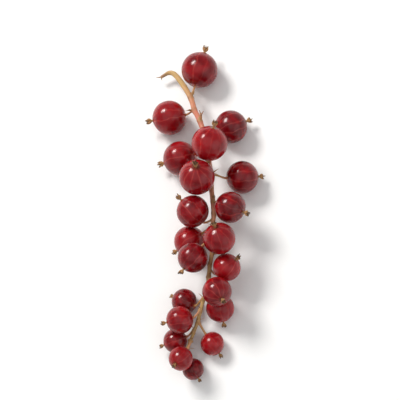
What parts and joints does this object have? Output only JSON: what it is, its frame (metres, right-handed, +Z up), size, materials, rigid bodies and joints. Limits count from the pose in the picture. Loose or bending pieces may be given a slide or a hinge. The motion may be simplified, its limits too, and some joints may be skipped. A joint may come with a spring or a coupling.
{
  "type": "redcurrant sprig",
  "caption": "Picked sprig of ripe redcurrants lying on its side: a bowed green stem with short pedicels, round glossy red berries and a withered flower on each berry.",
  "frame": {"origin": "centre of the underside of the sprig's box, on the plane the berries rest on", "axes": "+X along the sprig from the torn heel of its stalk to its tip, +Z up from the surface it lies on, +Y across it"},
  "size_m": [0.1066, 0.038, 0.0222],
  "materials": {
    "stem": "matte",
    "berry": "gloss",
    "dried_flower": "matte"
  },
  "bodies": {
    "root": {"stem": "stem", "berry_01": "berry", "berry_02": "berry", "berry_03": "berry", "berry_04": "berry", "berry_05": "berry", "berry_06": "berry", "berry_07": "berry", "berry_08": "berry", "berry_09": "berry", "berry_10": "berry", "berry_11": "berry", "berry_12": "berry", "berry_13": "berry", "berry_14": "berry", "berry_15": "berry", "berry_16": "berry", "berry_17": "berry", "berry_18": "berry", "berry_19": "berry", "berry_20": "berry", "berry_21": "berry", "dried_flower_01": "dried_flower", "dried_flower_02": "dried_flower", "dried_flower_03": "dried_flower", "dried_flower_04": "dried_flower", "dried_flower_05": "dried_flower", "dried_flower_06": "dried_flower", "dried_flower_07": "dried_flower", "dried_flower_08": "dried_flower", "dried_flower_09": "dried_flower", "dried_flower_10": "dried_flower", "dried_flower_11": "dried_flower", "dried_flower_12": "dried_flower", "dried_flower_13": "dried_flower", "dried_flower_14": "dried_flower", "dried_flower_15": "dried_flower", "dried_flower_16": "dried_flower", "dried_flower_17": "dried_flower", "dried_flower_18": "dried_flower", "dried_flower_19": "dried_flower", "dried_flower_20": "dried_flower", "dried_flower_21": "dried_flower"}
  },
  "joints": []
}
